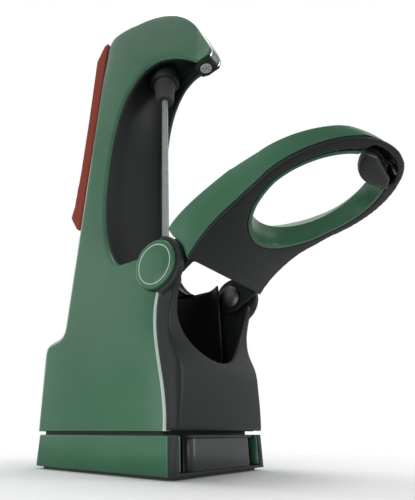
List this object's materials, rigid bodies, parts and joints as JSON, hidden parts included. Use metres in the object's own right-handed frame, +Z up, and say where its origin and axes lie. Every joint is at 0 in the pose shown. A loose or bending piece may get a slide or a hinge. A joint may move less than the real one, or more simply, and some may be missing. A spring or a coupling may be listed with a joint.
{
  "type": "cider pourer",
  "caption": "Electric cider pourer with green side covers, a swan-neck head over the bottle bay, a hinged glass ring with a press pad and a battery drawer in the block base.",
  "frame": {"origin": "centre of the underside of the foot mat", "axes": "+X to the front, where the glass ring stands out; +Y to the left of someone looking at the front from the back; +Z up"},
  "size_m": [0.259, 0.1024, 0.4231],
  "materials": {
    "green": "gloss moulded plastic with a fine orange-peel",
    "black": "satin moulded plastic",
    "graphite": "satin",
    "terracotta": "soft satin",
    "silver": "plated line",
    "pale_grey": "satin",
    "rubber": "matt",
    "clear": "clear tubing",
    "steel": "bright",
    "brass": "bright",
    "board": "lacquered board",
    "cell": "lacquered sleeve"
  },
  "bodies": {
    "body": {"foot_mat": "rubber", "base_skirt": "green", "base_tray": "black", "supply_pins": "brass", "case_screws": "steel", "body_floor": "black", "bottle_cup": "black", "bottle_pad": "rubber", "left_cover": "green", "right_cover": "green", "bay_liner": "black", "front_shell": "black", "rear_grip": "terracotta", "nose_cap": "graphite", "nose_trim": "silver", "nozzle_body": "black", "aerator_disc": "pale_grey", "stopper_socket": "black", "bottle_stopper": "rubber", "dip_tube": "clear", "pour_hose": "clear", "air_hose": "rubber", "pump_motor": "steel", "pump_head": "graphite", "pump_bracket": "steel", "control_board": "board", "left_hinge_bush": "brass", "right_hinge_bush": "brass", "left_hinge_cap": "green", "right_hinge_cap": "green"},
    "ring": {"ring_frame": "black", "ring_cover": "green", "left_hinge_pin": "steel", "right_hinge_pin": "steel", "pad_switch": "graphite", "pad_spring": "steel"},
    "pad": {"press_pad": "black"},
    "drawer": {"battery_drawer": "black", "battery_cells": "cell", "battery_contacts": "brass"}
  },
  "joints": [
    {"name": "ring_hinge", "type": "hinge", "parent": "body", "child": "ring", "pos_m": [0.051, 0, 0.1175], "axis": [0, -1, 0], "range_deg": [0, 55]},
    {"name": "pad_press", "type": "slide", "parent": "ring", "child": "pad", "axis": [1, 0, 0], "range_m": [0, 0.0025], "stiffness_N_per_m": 900, "springref_m": -0.0015, "deforming": ["pad_spring"]},
    {"name": "drawer_slide", "type": "slide", "parent": "body", "child": "drawer", "axis": [1, 0, 0], "range_m": [0, 0.06]}
  ]
}
